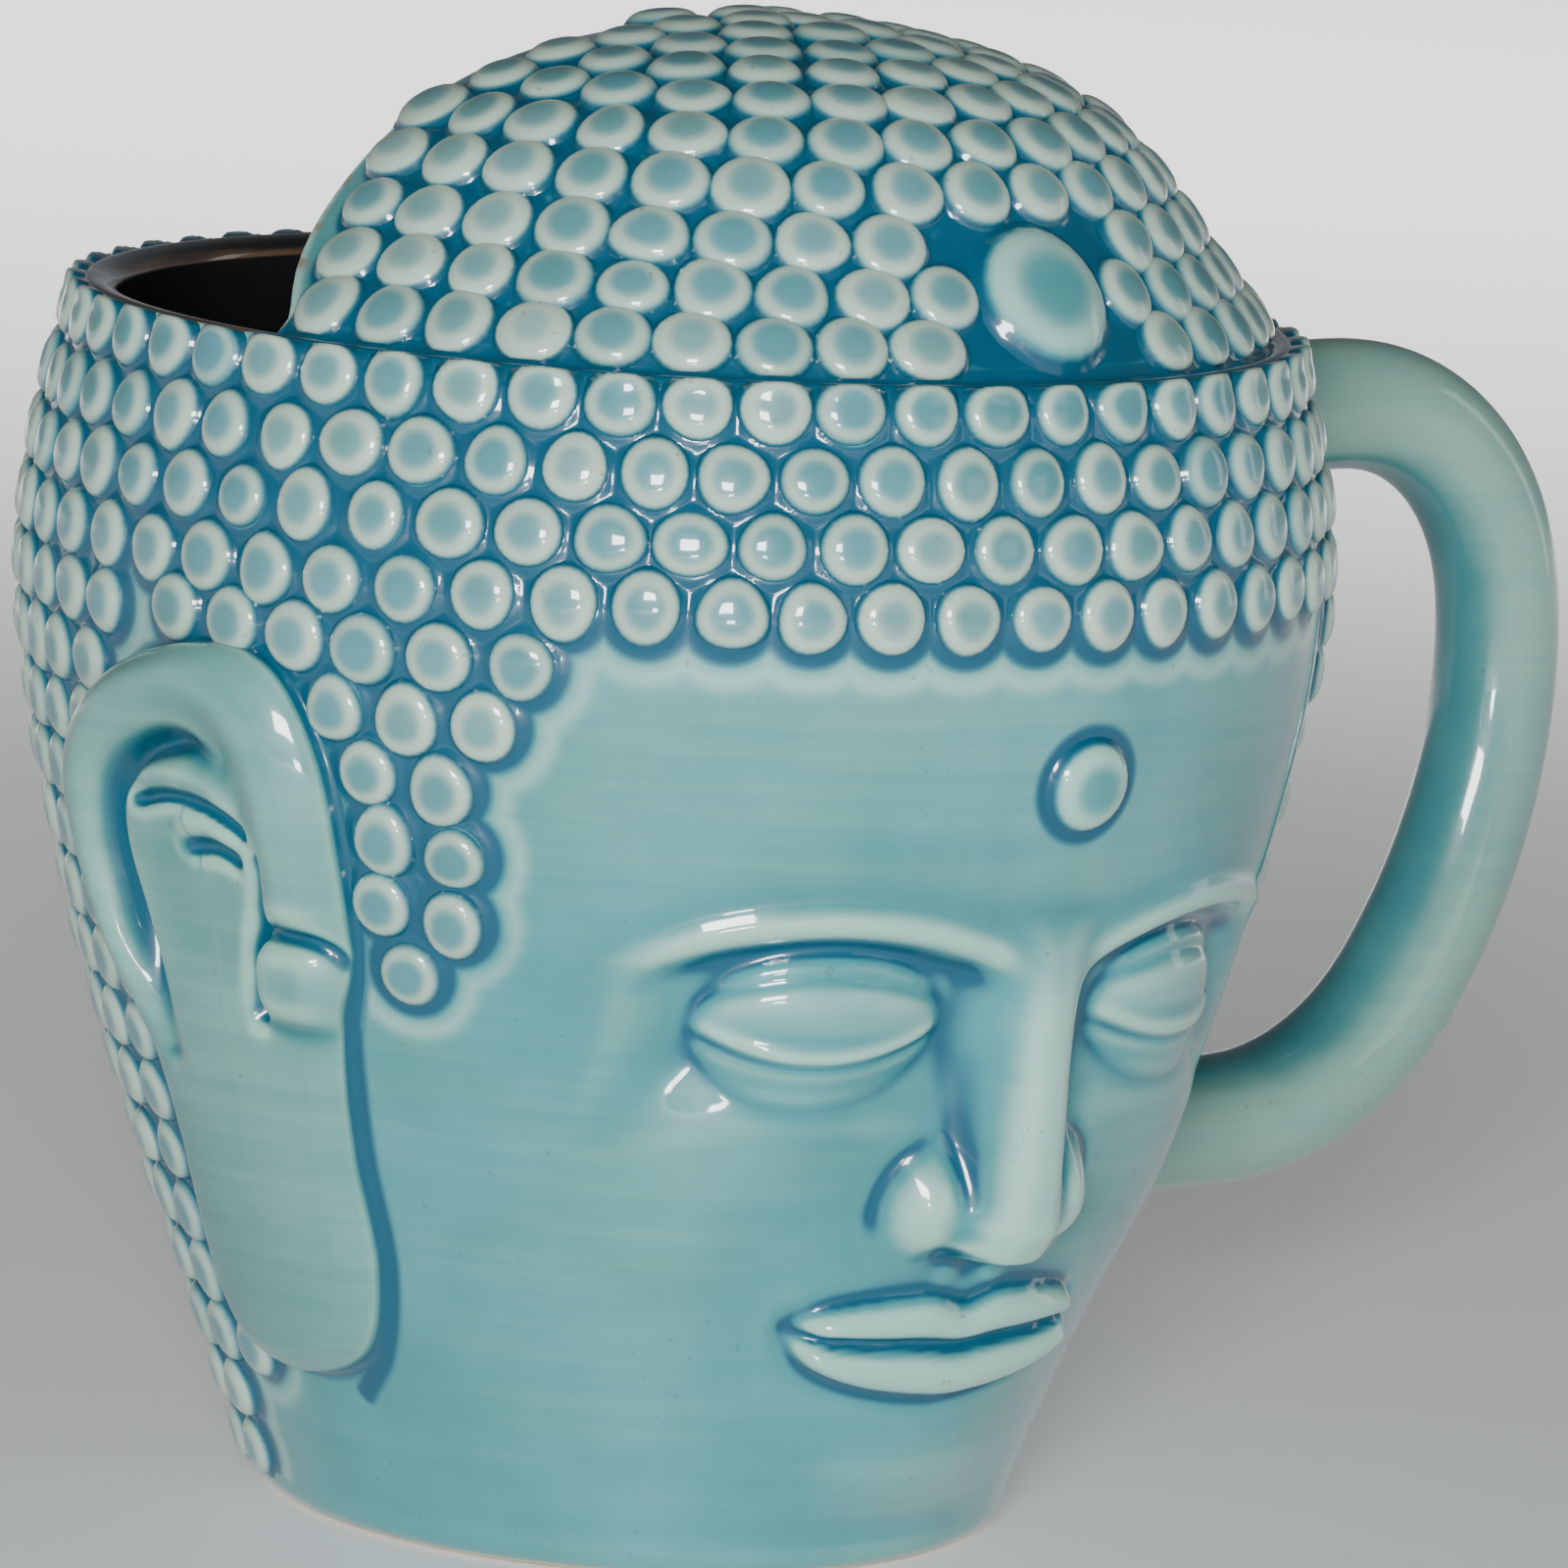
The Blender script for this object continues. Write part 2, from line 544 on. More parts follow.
def build_ear():
    """Points and glaze values of the ear on the -X side, as a grid from its middle to its foot on the wall."""
    spine_z = np.clip(OUTLINE[:, 1], EAR_LOW[2] + 13, EAR_HIGH[2] - 15)
    spine_y = np.interp(spine_z, [EAR_LOW[2] + 13, EAR_LOW[2] + 33, EAR_HIGH[2] - 15],
                        EAR_LOW[1] + np.array([15.8, 14.6, 16.5]) * EAR_SCALE[0])
    spine = np.stack([spine_y, spine_z], -1)
    reach = np.linalg.norm(OUTLINE - spine, axis=1)
    out = (OUTLINE - spine) / reach[:, None]
    share = 1 - (1 - np.linspace(0, 1, 130)) ** 1.3
    plan = spine[:, None] + out[:, None] * (reach[:, None] * share)[..., None]
    edge = -ear_distance(plan[..., 0], plan[..., 1])
    edge[:, -1] = 0.0
    h, cuts = ear_relief(plan[..., 0], plan[..., 1], np.maximum(edge, 0))
    ring = np.stack([OUTLINE + out * away for away, _ in EAR_SKIRT], 1)
    ring_h = np.stack([h[:, -1] * part for _, part in EAR_SKIRT], 1)
    plan, h = np.concatenate([plan, ring], 1), np.concatenate([h, ring_h], 1)
    p = np.stack([-(wall_x(plan[..., 0], plan[..., 1]) + h), plan[..., 0], plan[..., 1]], -1)
    cuts = np.concatenate([cuts, np.full(ring_h.shape, 0.55) + 0.35 * np.linspace(0, 1, len(EAR_SKIRT))], 1)
    cave = hollow(p, 10, 1.0)
    sign = np.sign((grid_normals(p)[..., 0] * -1).mean())
    cave *= sign
    thin = np.clip(0.32 - cave / 0.16, 0, 1)
    pool = np.clip(cuts * 0.95 + cave / 0.20, 0, 1)
    return p, pool, thin, sign < 0


EAR, EAR_POOL, EAR_THIN, EAR_FLIP = build_ear()
for side, name in ((1, "ear_right"), (-1, "ear_left")):
    flip = EAR_FLIP != (side < 0)
    ear = make_mesh("glazed_" + name, (EAR * np.array([side, 1, 1])).reshape(-1, 3),
                    [grid_faces(EAR.shape[0], EAR.shape[1], flip)], EAR_GLAZE, pool=EAR_POOL, thin=EAR_THIN,
                    inside=np.zeros(EAR_POOL.size), bare=np.zeros(EAR_POOL.size), rust=np.zeros(EAR_POOL.size))
    place(ear, "body_glaze", name)


# ---- curls, dot and jewel ----------------------------------------------------------------------------------
CURL_RADIUS = (box_mm("hood_curls_10")[1][0] - box_mm("hood_curls_10")[0][0]) / 4 + 0.1
LENS = np.array([(0.03, 1.0), (0.2, 0.992), (0.36, 0.965), (0.5, 0.915), (0.62, 0.845), (0.72, 0.75), (0.8, 0.645),
                 (0.87, 0.51), (0.93, 0.36), (0.98, 0.21), (1.03, 0.09), (1.08, 0.015), (1.14, -0.09)])
AROUND = 22
# how far hand-set curls differ: in width, ovalness, three-sidedness, place, height, tilt and tone
VARY = dict(wide=0.028, oval=0.03, third=0.022, place=0.09, tall=0.05, tip=0.03, tone=0.10)
RING_AT, RING_WIDE, FADE_FROM = 0.72, 0.22, 0.82


def lens_field(centres, along, put, size, height, cut_top=None, loose=1.0):
    """Lenses draped on a surface.

    along turns points into surface coordinates and put turns those into raised points. A cut top flattens a lens
    above that distance from its middle.
    """
    def vary(kind, *shape):
        return loose * RANDOM.normal(0, VARY[kind], shape or (count, 1, 1))

    count = len(centres)
    c = np.array(centres)
    coords = along(c)
    foot = put(*coords)
    normal = put(*coords, np.ones(count)) - foot
    east = np.cross(np.array([0, 0, 1.0]), normal)
    east /= np.linalg.norm(east, axis=1, keepdims=True)
    north = np.cross(normal, east)
    spin = np.linspace(0, 2 * math.pi, AROUND, endpoint=False)
    wide, oval = 1 + vary("wide"), 1 + vary("oval")
    third = vary("third") * np.cos(3 * spin + RANDOM.uniform(0, 6, (count, 1)))[:, :, None]
    rho = LENS[:, 0][None, None] * size[0] * wide * (1 + third)
    a = rho * oval * np.cos(spin)[None, :, None]
    b = rho / oval * np.sin(spin)[None, :, None] * size[1] / size[0]
    a = a + vary("place")
    b = b + vary("place")
    tall = height * (1 + vary("tall"))
    tip = vary("tip", 2, count, 1, 1)
    h = LENS[:, 1][None, None] * tall * (1 + tip[0] * a / size[0] + tip[1] * b / size[0])
    if cut_top is not None:
        over = np.maximum(b - cut_top, 0)
        b, h = b - over * 0.85, h - over * 1.1
    flat = foot[:, None, None] + east[:, None, None] * a[..., None] + north[:, None, None] * b[..., None]
    p = put(*along(flat), h)
    rank = np.broadcast_to(LENS[:, 0][None, None], p.shape[:3])
    thin = 0.08 + 0.80 * hill(rank - RING_AT, RING_WIDE) + vary("tone") - 0.9 * step(rank, FADE_FROM, 1.0)
    pool = step(rank, FADE_FROM, 1.02)
    return p, pool, np.clip(thin, 0, 1)


def lens_mesh(name, field, material, slot_name):
    p, pool, thin = field
    count, per = len(p), AROUND * len(LENS)
    one = grid_faces(AROUND, len(LENS))
    quads = (one[None] + np.arange(count)[:, None, None] * per).reshape(-1, 4)
    caps = (np.arange(AROUND) * len(LENS))[None, ::-1] + np.arange(count)[:, None] * per
    zero = np.zeros(pool.size)
    mesh = make_mesh("glazed_" + name, p.reshape(-1, 3), [quads[:, ::-1], caps[:, ::-1]], material,
                     pool=pool, thin=thin, inside=zero, bare=zero, rust=zero)
    return place(mesh, slot_name, name)


BAND_R, HOOD_CURL_R, CURL_TALL = CURL_RADIUS * 1.12, CURL_RADIUS * 1.17, 1.65
ON_HOOD, ON_WALL = (on_hood, hood_point, (HOOD_CURL_R * 1.07, HOOD_CURL_R)), (on_wall, wall_point, (BAND_R, BAND_R))
for name, spots in CURLS.items():
    under_rim = BAND_R * 0.74 if name == names("band_curls")[0] else None
    field = lens_field(spots, *(ON_HOOD if name.startswith("hood") else ON_WALL), CURL_TALL, under_rim)
    lens_mesh(name, field, CURL, "curl_glaze")

DOT_LOW, DOT_HIGH = box_mm("forehead_dot")
JEWEL_LOW, JEWEL_HIGH = box_mm("hair_jewel")
DOT_SPOT = np.array([0.0, DOT_LOW[1] + 3, (DOT_LOW[2] + DOT_HIGH[2]) / 2])
JEWEL_SPOT = np.array([0.0, (JEWEL_LOW[1] + JEWEL_HIGH[1]) / 2, (JEWEL_LOW[2] + JEWEL_HIGH[2]) / 2])
DOT_R = (DOT_HIGH[0] - DOT_LOW[0]) / 2
JEWEL_R = (JEWEL_HIGH[0] - JEWEL_LOW[0]) / 2
DOT_SIZE, DOT_TALL = (DOT_R, DOT_R), 2.1
JEWEL_SIZE, JEWEL_TALL = (JEWEL_R * 1.08, JEWEL_R * 1.10), 2.6
lens_mesh("forehead_dot", lens_field([DOT_SPOT], on_wall, wall_point, DOT_SIZE, DOT_TALL, loose=0.0),
          BODY, "curl_glaze")
lens_mesh("hair_jewel", lens_field([JEWEL_SPOT], on_hood, hood_point, JEWEL_SIZE, JEWEL_TALL, loose=0.0),
          BODY, "curl_glaze")


# ---- vessel ------------------------------------------------------------------------------------------------
COLUMNS, WALL_ROWS = 1080, 345
HAIRLINE_Z = box_mm(names("band_curls")[-1])[0][2]
CHIN_Z = WALL_LOW_Z + 3.6
THIRD = (HAIRLINE_Z - CHIN_Z) / 3
BROW_Z, NOSE_Z = HAIRLINE_Z - THIRD, HAIRLINE_Z - 2 * THIRD
EYE_Z, MOUTH_Z = BROW_Z - 0.27 * THIRD, NOSE_Z - THIRD / 3
EYE = 2 * radius(EYE_Z) / 5
# the brow: drop of its inner end, arch, length, height of its ridge
BROW_DROP, BROW_ARCH, BROW_LONG, BROW_HIGH = 3.4, 5.6, 44, 1.0
# the eye: depth of the socket, half height and height of the ball, depth of the lash line and the lid's crease
SOCKET_DEEP, BALL_HALF, BALL_HIGH, LASH_DEEP, CREASE_DEEP = 2.7, 7.6, 3.3, 0.85, 0.5
# the nose: levels over its base, and how far it stands out and how wide it is to each side at them
NOSE_LEVELS = np.array([-1.6, -0.2, 1.2, 4.6, 10, 18, 25, 29.5, 33])
NOSE_OUT, NOSE_HALF = [0, 4.6, 7.6, 8.9, 7.4, 5.0, 3.0, 1.6, 0.2], [5.4, 5.6, 5.8, 5.8, 4.7, 3.9, 3.7, 4.4, 6.0]
WING_OUT, WING_HALF, WING_TALL, NOSTRIL_DEEP = 4.6, 4.0, 4.8, 1.5
# the lips: height and swell of the upper and of the lower, and the ground they stand on
UPPER_TALL, LOWER_TALL, UPPER_OUT, LOWER_OUT, MUZZLE_OUT = 4.8, 5.6, 2.3, 2.9, 1.5
CHIN_OUT, CHEEK_OUT = 2.4, 1.4


def eyes(m, z):
    """Socket, lid and lashes' line of a lowered eye; m is the distance from the middle of the face."""
    brow = BROW_Z - BROW_DROP + BROW_ARCH * np.sin(math.pi * np.clip((m - 1) / BROW_LONG, 0, 1)) ** 0.85
    below = brow - z
    span = step(m, 4, 9) * (1 - step(m, 33, 43))
    h = -SOCKET_DEEP * step(below, -0.4, 3.0) * (1 - step(below, 10, 20)) * span
    h += BROW_HIGH * hill(below + 1.1, 1.7) * step(m, 2, 7) * (1 - step(m, 35, 46))
    u, v = (m - EYE) / (0.56 * EYE), (z - EYE_Z) / BALL_HALF
    line = EYE_Z - 3.0 + 2.2 * u ** 2
    ball = np.clip(1 - u ** 2 - v ** 2, 0, 1)
    h += BALL_HIGH * ball ** 0.7 * (1 - 0.35 * step(line - z, -0.2, 1.6))
    inside = 1 - step(np.abs(u), 0.82, 1.06)
    h += inside * (0.5 * hill(z - line - 0.9, 0.8) - LASH_DEEP * hill(z - line + 0.1, 0.42)
                   + 0.35 * hill(z - line + 1.2, 0.7))
    crease = EYE_Z + 5.2 - 3.2 * u ** 2
    h -= CREASE_DEEP * hill(z - crease, 0.55) * (1 - step(np.abs(u), 0.8, 1.1))
    return h


def nose(m, z):
    """Bridge, tip, wings and nostrils."""
    out, wide = (np.interp(z, NOSE_Z + NOSE_LEVELS, values) for values in (NOSE_OUT, NOSE_HALF))
    h = out * np.exp(-(m / wide) ** 2.8)
    wing_m, wing_z = 0.33 * EYE, NOSE_Z + 4.2
    ring = np.hypot((m - wing_m) / WING_HALF, (z - wing_z) / WING_TALL)
    wing = WING_OUT * np.exp(-ring ** 2.6)
    h = (h ** 3 + wing ** 3 + 1e-6) ** (1 / 3) - 0.01
    h -= 0.55 * hill(ring - 1.32, 0.2) * step(m, wing_m, wing_m + 2.5) * step(z, NOSE_Z, NOSE_Z + 3)
    h -= NOSTRIL_DEEP * hill(m - 4.2, 1.7) * hill(z - NOSE_Z - 0.2, 0.9)
    return h


def mouth(m, z):
    """Closed lips, the line between them, their corners and the hollows round them."""
    half = 0.75 * EYE
    u = m / half
    line = MOUTH_Z + 0.9 * np.clip(u, 0, 1.2) ** 2 - 0.35 * hill(m, 3.0)
    taper = np.sqrt(np.clip(1.06 - u ** 2, 0.03, 1))
    top, low = UPPER_TALL * taper * (1 - 0.16 * hill(m, 2.6)), LOWER_TALL * taper
    a, b = (z - line) / top * 2 - 1, (line - z) / low * 2 - 1
    fade = 1 - step(u, 0.82, 1.08)
    h = fade * (UPPER_OUT * np.clip(1 - a ** 2, 0, 1) ** 0.6 + LOWER_OUT * np.clip(1 - b ** 2, 0, 1) ** 0.6)
    h += MUZZLE_OUT * np.exp(-(m / (half * 1.1)) ** 4 - ((z - MOUTH_Z) / 9.5) ** 4)
    h -= 0.6 * hill(z - line, 0.45) * (1 - step(u, 0.95, 1.12))
    h -= 0.6 * hill(m - half - 0.6, 1.5) * hill(z - line - 0.3, 1.8)
    h -= 0.35 * hill(z - line + low + 0.8, 1.0) * (1 - step(u, 0.5, 0.9))
    gutter = step(z, MOUTH_Z + 4.8, MOUTH_Z + 6.4) * (1 - step(z, NOSE_Z - 2.6, NOSE_Z - 0.8))
    h += gutter * (0.35 * hill(m - 2.9, 1.3) - 0.5 * hill(m, 1.5))
    return h


def face(m, z):
    """Relief of the face over the plain wall, faded out at the hair and at the foot."""
    h = eyes(m, z) + nose(m, z) + mouth(m, z)
    h += CHIN_OUT * np.exp(-(m / 13) ** 2 - ((z - CHIN_Z - 6.0) / 6.2) ** 2)
    h += CHEEK_OUT * np.exp(-((m - 30) / 12) ** 2 - ((z - NOSE_Z - 4) / 13) ** 2)
    h = h * (1 - step(m, 46, 56)) * (1 - step(z, HAIRLINE_Z - 6, HAIRLINE_Z))
    return h * step(z, WALL_LOW_Z, WALL_LOW_Z + 4)


def soften(h, cells):
    """Gaussian blur over a grid that closes on itself in its first direction."""
    pad = 24
    tall = np.pad(h, ((0, 0), (pad, pad)), "edge")
    f0 = np.exp(-2 * (math.pi * np.fft.fftfreq(tall.shape[0]) * cells) ** 2)
    f1 = np.exp(-2 * (math.pi * np.fft.fftfreq(tall.shape[1]) * cells) ** 2)
    return np.fft.ifft2(np.fft.fft2(tall) * f0[:, None] * f1[None]).real[:, pad:-pad]


def gaps(points, centres):
    """Distance from each point to the nearest centre."""
    tree = KDTree(len(centres))
    for i, c in enumerate(centres):
        tree.insert(c, i)
    tree.balance()
    flat = points.reshape(-1, 3)
    return np.fromiter((tree.find(p)[2] for p in flat.tolist()), float, len(flat)).reshape(points.shape[:-1])


def curl_pool(d):
    """Glaze pooled between curls, fading out beyond the hairline."""
    return step(d, BAND_R * 0.8, BAND_R) * (1 - step(d, BAND_R + 0.5, BAND_R + 2.4))


def curl_fillet(d):
    """Glaze that climbs the foot of the curls."""
    return 0.42 * np.exp(-np.maximum(d - BAND_R, 0) / 0.5)


FOOT_RING, BEND_Z, BEND_R, CENTRE_R = 3.7, 12.0, 7.0, 0.4
LIP_AT = np.linspace(0, math.pi, 20)[1:-1]
HOOD_HALF = 1.38, 1.50


def wall_glaze(t, z, h, d, plain):
    """How much glaze pools, and how thin it breaks, over a wall with relief h and curls at distances d."""
    cave = np.clip((soften(h, 3.4) - h) / 0.36, -1.5, 1.5)
    broad = np.clip((soften(h, 9.0) - h) / 1.3, -1, 1)
    ear_gap = np.abs(ear_distance(plain[..., 1], plain[..., 2]))
    front, share = path_distance(plain[..., 1], plain[..., 2], LOBE_FRONT)
    by_lobe = 0.95 * (1 - step(front, 0.25, 2.1)) * (1 - step(share, 0.9, 1.0))
    by_ear = np.maximum(0.6 * (1 - step(ear_gap, 0.5, 2.2)), by_lobe)
    dot = np.linalg.norm(plain - wall_point(np.zeros(1), DOT_SPOT[2:])[0], axis=-1)
    by_dot = 0.9 * (1 - step(dot, DOT_R + 0.5, DOT_R + 2.2))
    groove = step(z + 0 * t, WALL_HIGH_Z - 1.2, WALL_HIGH_Z) * (1 - step(np.abs(t), *HOOD_HALF))
    in_relief = np.clip(cave, 0, 1) * 0.85 + np.clip(broad, 0, 1) * 0.12
    hairline = 0.42 * hill(d - BAND_R - 2.9, 1.0)
    return (np.maximum.reduce([curl_pool(d), by_ear, by_dot, in_relief, groove]),
            np.clip(0.16 - cave * 0.75 - broad * 0.25 + hairline, 0, 1))


def vessel_rings(t):
    """Rings of points below the wall, from the middle of the foot, and past it, over the lip and down inside."""
    def rows(r, level):
        r, level = np.asarray(r, float)[None], np.asarray(level, float)[None]
        return np.stack([r * np.sin(t), -DEPTH_RATIO * r * np.cos(t), level + 0 * t], -1)

    low_r, high_r, inner_r = float(radius(WALL_LOW_Z)), float(radius(WALL_HIGH_Z)), float(radius(BEND_Z)) - WALL
    foot_r = low_r - FOOT_RING
    quarter = np.linspace(0, math.pi / 2, 12)[:-1]
    under = rows(np.linspace(CENTRE_R, foot_r, 14)[:-1], np.zeros(13))
    foot = rows(foot_r + (low_r - foot_r) * np.sin(quarter), WALL_LOW_Z * (1 - np.cos(quarter)))
    edge = 0.25 * WALL
    lip = rows(high_r - edge + np.where(LIP_AT < math.pi / 2, edge, WALL - edge) * np.cos(LIP_AT),
               WALL_HIGH_Z + (RIM_Z - WALL_HIGH_Z) * np.sin(LIP_AT))
    levels = np.linspace(WALL_HIGH_Z, BEND_Z, 70)
    inner = rows(radius(levels) - WALL, levels)
    turn = np.linspace(0, math.pi / 2, 12)[1:]
    corner = rows(inner_r - BEND_R * (1 - np.cos(turn)), BEND_Z - (BEND_Z - FLOOR_Z) * np.sin(turn))
    floor = rows(np.linspace(inner_r - BEND_R, CENTRE_R, 12)[1:], np.full(11, FLOOR_Z))
    return under, foot, lip, np.concatenate([inner, corner, floor], 1)


def build_vessel():
    """Points and glaze values of the vessel, one grid from the middle of the foot to that of the floor."""
    t = np.linspace(-math.pi, math.pi, COLUMNS, endpoint=False)[:, None]
    z = np.linspace(WALL_LOW_Z, WALL_HIGH_Z, WALL_ROWS)[None]
    h = soften(face(np.abs(t) * radius(z), z + 0 * t), 1.1)
    plain = wall_point(t + 0 * z, z + 0 * t)
    d = gaps(plain, [c for n, cs in CURLS.items() if not n.startswith("hood") for c in cs])
    under, foot, lip, liner = vessel_rings(t)
    p = np.concatenate([under, foot, wall_point(t + 0 * z, z + 0 * t, h + curl_fillet(d)), lip, liner], 1)
    on_under, on_foot, on_the_wall, on_lip, on_liner = (slice(a, b) for a, b in pairwise(
        np.cumsum([0, under.shape[1], foot.shape[1], WALL_ROWS, lip.shape[1], liner.shape[1]])))
    pool, thin = np.zeros(p.shape[:2]), np.full(p.shape[:2], 0.18)
    inside, bare, rust = (np.zeros(p.shape[:2]) for _ in range(3))
    pool[:, on_the_wall], thin[:, on_the_wall] = wall_glaze(t, z, h, d, plain)
    hood_side = 1 - step(np.abs(t), *HOOD_HALF)
    pool[:, on_lip] = hood_side
    thin[:, on_lip] = 1.0 - hood_side
    inside[:, on_lip] = step(LIP_AT, 0.75, 1.35)[None] * (1 - hood_side)
    rust[:, on_lip] = (1 - hood_side) * 0.8
    inside[:, on_liner] = 1.0
    bare[:, on_under] = 1.0
    bare[:, on_foot] = 1 - step(np.linspace(0, 1, foot.shape[1]), 0.25, 0.7)[None]
    return p, dict(pool=pool, thin=thin, inside=inside, bare=bare, rust=rust)


VESSEL, VESSEL_GLAZE = build_vessel()
place(make_mesh("glazed_vessel", VESSEL.reshape(-1, 3), [grid_faces(VESSEL.shape[0], VESSEL.shape[1])], BODY,
                **VESSEL_GLAZE), "body_glaze", "vessel")


# ---- hood --------------------------------------------------------------------------------------------------
HOOD_COLUMNS, HOOD_ROWS, LINER_ROWS = 720, 210, 70
APEX_Q, EDGE_BULGE = 0.004, 1.3
# the glaze fillet at the foot: how far out from it, and up from it, in millimetres
FOOT_FILLET = np.array([(0.15, -0.1), (0.5, -0.35), (1.1, -0.7), (1.9, -1.3)])


def hood_end(t):
    """The q at which the cut ends each column of the hood: 1 where the column runs down to the foot."""
    q = np.linspace(0.0, 1.0, 700)
    trial = hood_point(t[:, None] + 0 * q[None], q[None] + 0 * t[:, None])
    past_cut = trial[..., 1] - cut_y(trial[..., 2])
    gone = past_cut > 0
    gone[:, :60] = False
    last = np.where(gone.any(1), gone.argmax(1), len(q) - 1)
    before, i = np.maximum(last - 1, 0), np.arange(len(t))
    climb = np.maximum(past_cut[i, last] - past_cut[i, before], 1e-6)
    share = np.where(gone.any(1), -past_cut[i, before] / climb, 1.0)
    return np.interp(before + np.clip(share, 0, 1), np.arange(len(q)), q)


def build_hood():
    """Points and glaze values of the hood: its outside, the fillet at its foot, its cut edge and its inside."""
    t = np.linspace(-math.pi, math.pi, HOOD_COLUMNS, endpoint=False)
    end = hood_end(t)
    open_edge = step(1 - end, 0.001, 0.02)[:, None]
    share = np.linspace(APEX_Q, 1, HOOD_ROWS)[None]
    outer = hood_point(t[:, None] + 0 * share, end[:, None] * share)
    d = gaps(outer, [c for n, cs in CURLS.items() if n.startswith("hood") for c in cs])
    outer = hood_point(t[:, None] + 0 * share, end[:, None] * share, curl_fillet(d))
    inner_share = np.linspace(1, APEX_Q, LINER_ROWS)[None]
    inner = hood_point(t[:, None] + 0 * inner_share, end[:, None] * inner_share,
                       np.full((HOOD_COLUMNS, LINER_ROWS), -WALL))
    ahead = outer[:, -1] - outer[:, -3]
    ahead /= np.linalg.norm(ahead, axis=1, keepdims=True)
    s = np.linspace(0, 1, 14)[None, 1:-1]
    bulge = np.sin(math.pi * s) * EDGE_BULGE * open_edge
    radial = np.stack([np.sin(t), -DEPTH_RATIO * np.cos(t), 0 * t], -1)
    foot = outer[:, -1:] + (1 - open_edge)[..., None] * (
        radial[:, None] * FOOT_FILLET[None, :, :1] + np.array([0, 0, 1.0]) * FOOT_FILLET[None, :, 1:])
    edge = foot[:, -1:] * (1 - s[..., None]) + inner[:, :1] * s[..., None] + ahead[:, None] * bulge[..., None]

    jewel = np.linalg.norm(outer - hood_point(*on_hood(JEWEL_SPOT[None]))[0], axis=-1)
    by_cut = np.linalg.norm(outer - outer[:, -1:], axis=-1)
    pool = np.maximum(curl_pool(d), 1 - step(jewel, JEWEL_R + 4.0, JEWEL_R + 7.0)) * step(by_cut, 0.3, 2.0)
    pool = np.maximum(pool, (1 - open_edge) * (1 - step(by_cut, 0.6, 2.2)))
    thin = 0.2 + 0.8 * (1 - step(by_cut, 0.2, 2.0)) * open_edge
    rust = (1 - step(by_cut, 0.4, 3.0)) * open_edge

    def spread(*parts):
        widths = outer.shape[1], foot.shape[1], edge.shape[1], LINER_ROWS
        return np.concatenate([np.broadcast_to(v, (HOOD_COLUMNS, w)) for v, w in zip(parts, widths)], 1)

    return np.concatenate([outer, foot, edge, inner], 1), dict(
        pool=spread(pool, 1 - open_edge, 1 - open_edge, 0.0), thin=spread(thin, open_edge, open_edge, 0.0),
        inside=spread(0.0, 0.0, step(s, 0.45, 0.8), 1.0), bare=spread(0.0, 0.0, 0.0, 0.0),
        rust=spread(rust, open_edge, open_edge, 0.0))


HOOD, HOOD_GLAZE = build_hood()
place(make_mesh("glazed_crown_hood", HOOD.reshape(-1, 3), [grid_faces(HOOD.shape[0], HOOD.shape[1], True)], BODY,
                **HOOD_GLAZE), "body_glaze", "crown_hood")


# ---- handle ------------------------------------------------------------------------------------------------
LOW_BURIED, TOP_BURIED = 20.0, 16.0
# swell at the roots: share of the radius, and the distance in which it dies away
FLARES = (0.30, 2.6), (0.05, 9.0)


def handle_line():
    """The middle line of the handle in its own plane, run on into the wall at both ends, and its radius."""
    tree = tree_of(*cad_mesh("handle"))
    low, high = box_mm("handle")
    grip = (high[1] - low[1]) / 2
    pivot = np.array([low[0] + 0.42 * (high[0] - low[0]), 0.2, (low[2] + high[2]) / 2])
    line = []
    for angle in np.linspace(math.radians(112), math.radians(-116), 120):
        way = np.array([math.cos(angle), 0, math.sin(angle)])
        near, far = cast(tree, pivot, way), cast(tree, pivot + way * FAR, -way)
        if near is not None and far is not None and np.linalg.norm(far - near) < 4 * grip:
            line.append((near + far) / 2)
    line = np.array(line)[:, [0, 2]]
    for _ in range(4):
        line[1:-1] = (line[:-2] + 2 * line[1:-1] + line[2:]) / 4
    top, bottom = line[0] - line[6], line[-1] - line[-7]
    line = np.vstack([line[0] + top / np.linalg.norm(top) * TOP_BURIED, line,
                      line[-1] + bottom / np.linalg.norm(bottom) * LOW_BURIED])
    run = np.append(0, np.cumsum(np.linalg.norm(np.diff(line, axis=0), axis=1)))
    s = np.linspace(0, run[-1], 460)
    kernel = np.exp(-np.linspace(-2, 2, 25) ** 2)
    kernel /= kernel.sum()
    x, z = (np.convolve(np.pad(np.interp(s, run, line[:, i]), 12, "reflect", reflect_type="odd"), kernel, "valid")
            for i in (0, 1))
    return s, x, z, grip


